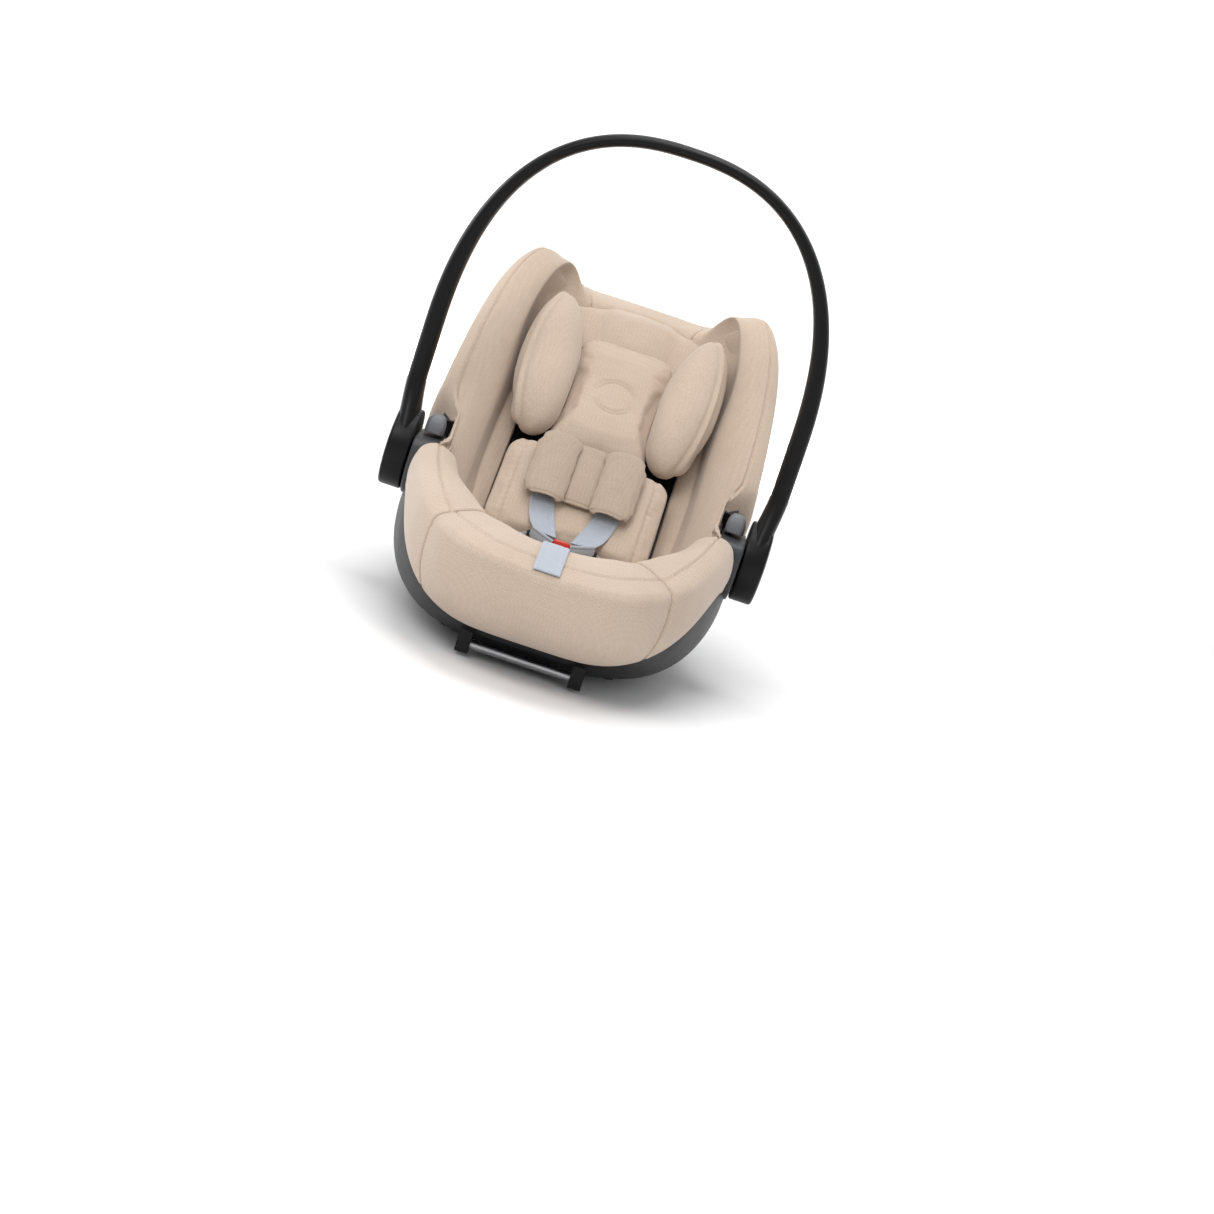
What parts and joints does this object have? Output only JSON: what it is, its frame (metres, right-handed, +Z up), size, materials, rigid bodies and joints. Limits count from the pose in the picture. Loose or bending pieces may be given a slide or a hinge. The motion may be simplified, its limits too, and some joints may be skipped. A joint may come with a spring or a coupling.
{
  "type": "infant car seat",
  "caption": "Padded infant carrier shell with a swing-back carry handle, sliding winged headrest and buckled harness.",
  "frame": {"origin": "centre of the floor under the carrier, midway between its ends", "axes": "+X to the right across the seat, +Y towards the head end, +Z up"},
  "size_m": [0.439, 0.6576, 0.557],
  "materials": {
    "shell_plastic": "fine moulded grain, low sheen",
    "handle_plastic": "satin",
    "grey_plastic": "fine moulded grain",
    "button_plastic": "satin",
    "buckle_plastic": "satin",
    "red_plastic": "smooth",
    "steel": "zinc plated",
    "foot_rubber": "matte",
    "liner_foam": "expanded foam",
    "webbing": "flat woven polyester",
    "cover_fabric": "fine melange weave over padding"
  },
  "bodies": {
    "root": {"outer_shell": "shell_plastic", "foam_liner": "liner_foam", "back_support": "liner_foam", "back_panel": "shell_plastic", "guide_rods": "steel", "pivot_housing_left": "grey_plastic", "pivot_housing_right": "grey_plastic", "front_latch_mount": "shell_plastic", "rear_latch_mount": "shell_plastic", "front_latch_bar": "steel", "rear_latch_bar": "steel", "release_lever_mount": "steel", "feet": "foot_rubber", "foot_screws": "steel", "wing_left": "cover_fabric", "wing_right": "cover_fabric", "top_panel": "cover_fabric", "arm_cover_left": "cover_fabric", "arm_cover_right": "cover_fabric", "front_bumper": "cover_fabric", "seat_cushion": "cover_fabric", "back_cushion": "cover_fabric", "newborn_insert": "cover_fabric", "shoulder_strap_left": "webbing", "shoulder_strap_right": "webbing", "hip_strap_left": "webbing", "hip_strap_right": "webbing", "tongue_left": "buckle_plastic", "tongue_right": "buckle_plastic", "buckle_body": "buckle_plastic", "crotch_strap": "webbing", "adjuster_strap": "webbing", "harness_adjuster": "buckle_plastic"},
    "handle": {"carry_handle": "handle_plastic", "lobe_cover_left": "handle_plastic", "lobe_cover_right": "handle_plastic", "pivot_pin_left": "steel", "pivot_pin_right": "steel"},
    "handle_button_left": {"handle_button_left": "button_plastic"},
    "handle_button_right": {"handle_button_right": "button_plastic"},
    "headrest": {"headrest_board": "shell_plastic", "headrest_panel": "cover_fabric", "bolster_left": "cover_fabric", "bolster_right": "cover_fabric", "harness_pad_left": "cover_fabric", "harness_pad_right": "cover_fabric", "pad_bridge": "cover_fabric"},
    "headrest_grip": {"headrest_grip": "button_plastic"},
    "buckle_button": {"buckle_button": "red_plastic"},
    "adjuster_button": {"adjuster_button": "button_plastic"},
    "release_lever": {"release_lever": "grey_plastic"}
  },
  "joints": [
    {"name": "handle_swing", "type": "hinge", "parent": "root", "child": "handle", "pos_m": [0, 0, 0.15], "axis": [1, 0, 0], "range_deg": [-105, 0]},
    {"name": "handle_button_left_press", "type": "slide", "parent": "root", "child": "handle_button_left", "axis": [0, 0, -1], "range_m": [0, 0.004], "stiffness_N_per_m": 600, "springref_m": -0.002},
    {"name": "handle_button_right_press", "type": "slide", "parent": "root", "child": "handle_button_right", "axis": [0, 0, -1], "range_m": [0, 0.004], "stiffness_N_per_m": 600, "springref_m": -0.002},
    {"name": "headrest_slide", "type": "slide", "parent": "root", "child": "headrest", "axis": [0, 0.766, 0.6428], "range_m": [0, 0.045]},
    {"name": "headrest_grip_pull", "type": "slide", "parent": "headrest", "child": "headrest_grip", "axis": [0, 0.766, 0.6428], "range_m": [0, 0.004], "stiffness_N_per_m": 500, "springref_m": -0.002},
    {"name": "buckle_button_press", "type": "slide", "parent": "root", "child": "buckle_button", "axis": [0, 1, 0], "range_m": [0, 0.003], "stiffness_N_per_m": 900, "springref_m": -0.002},
    {"name": "adjuster_button_press", "type": "slide", "parent": "root", "child": "adjuster_button", "axis": [0, 0, -1], "range_m": [0, 0.003], "stiffness_N_per_m": 900, "springref_m": -0.002},
    {"name": "release_lever_pull", "type": "hinge", "parent": "root", "child": "release_lever", "pos_m": [0, 0.285, 0.128], "axis": [1, 0, 0], "range_deg": [0, 30], "stiffness_Nm_per_rad": 0.6, "springref_deg": -8.59}
  ]
}
